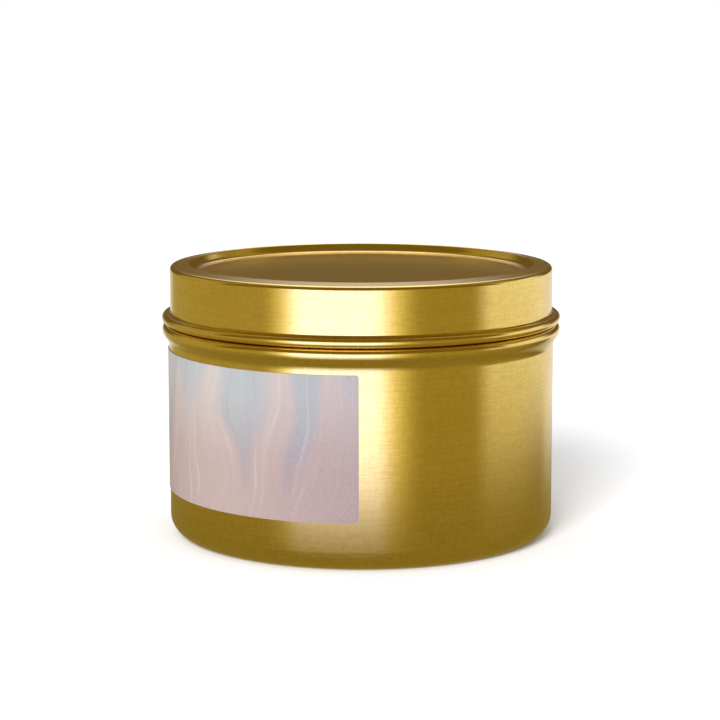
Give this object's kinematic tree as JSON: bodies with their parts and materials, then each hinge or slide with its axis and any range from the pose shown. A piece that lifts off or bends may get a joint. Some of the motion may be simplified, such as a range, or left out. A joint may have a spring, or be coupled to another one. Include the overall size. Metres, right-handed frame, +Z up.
{
  "type": "candle tin",
  "caption": "Round drawn metal tin with a lift-off lid, a poured candle inside with a braided wick, and a paper label half the way round the wall.",
  "frame": {"origin": "centre of the tin's base, on the plane that it stands on", "axes": "+Z up along the tin's axis; -Y is the side with the label's right-hand edge in the middle, and the label is centred on -X"},
  "size_m": [0.0788, 0.0788, 0.0538],
  "materials": {
    "gold_tinplate": "satin gold lacquer on brushed tinplate",
    "gold_tinplate_lid": "satin gold lacquer on brushed tinplate",
    "label_paper": "matte-satin coated paper, soft pastel colours",
    "base_label_paper": "plain matte paper",
    "candle_wax": "soft satin wax",
    "wick_core_paper": "matte twisted paper",
    "wick_cotton": "waxed braided cotton",
    "tab_steel": "bright zinc-plated steel",
    "adhesive_foam": "matte foam"
  },
  "bodies": {
    "tin": {"tin_body": "gold_tinplate", "side_label": "label_paper", "base_label": "base_label_paper", "wax": "candle_wax", "wick_core": "wick_core_paper", "wick_braid": "wick_cotton", "wick_tab": "tab_steel", "wick_sticker": "adhesive_foam"},
    "lid": {"lid": "gold_tinplate_lid"}
  },
  "joints": [
    {"name": "lid_lift", "type": "slide", "parent": "tin", "child": "lid", "axis": [0, 0, 1], "range_m": [0, 0.04]}
  ]
}
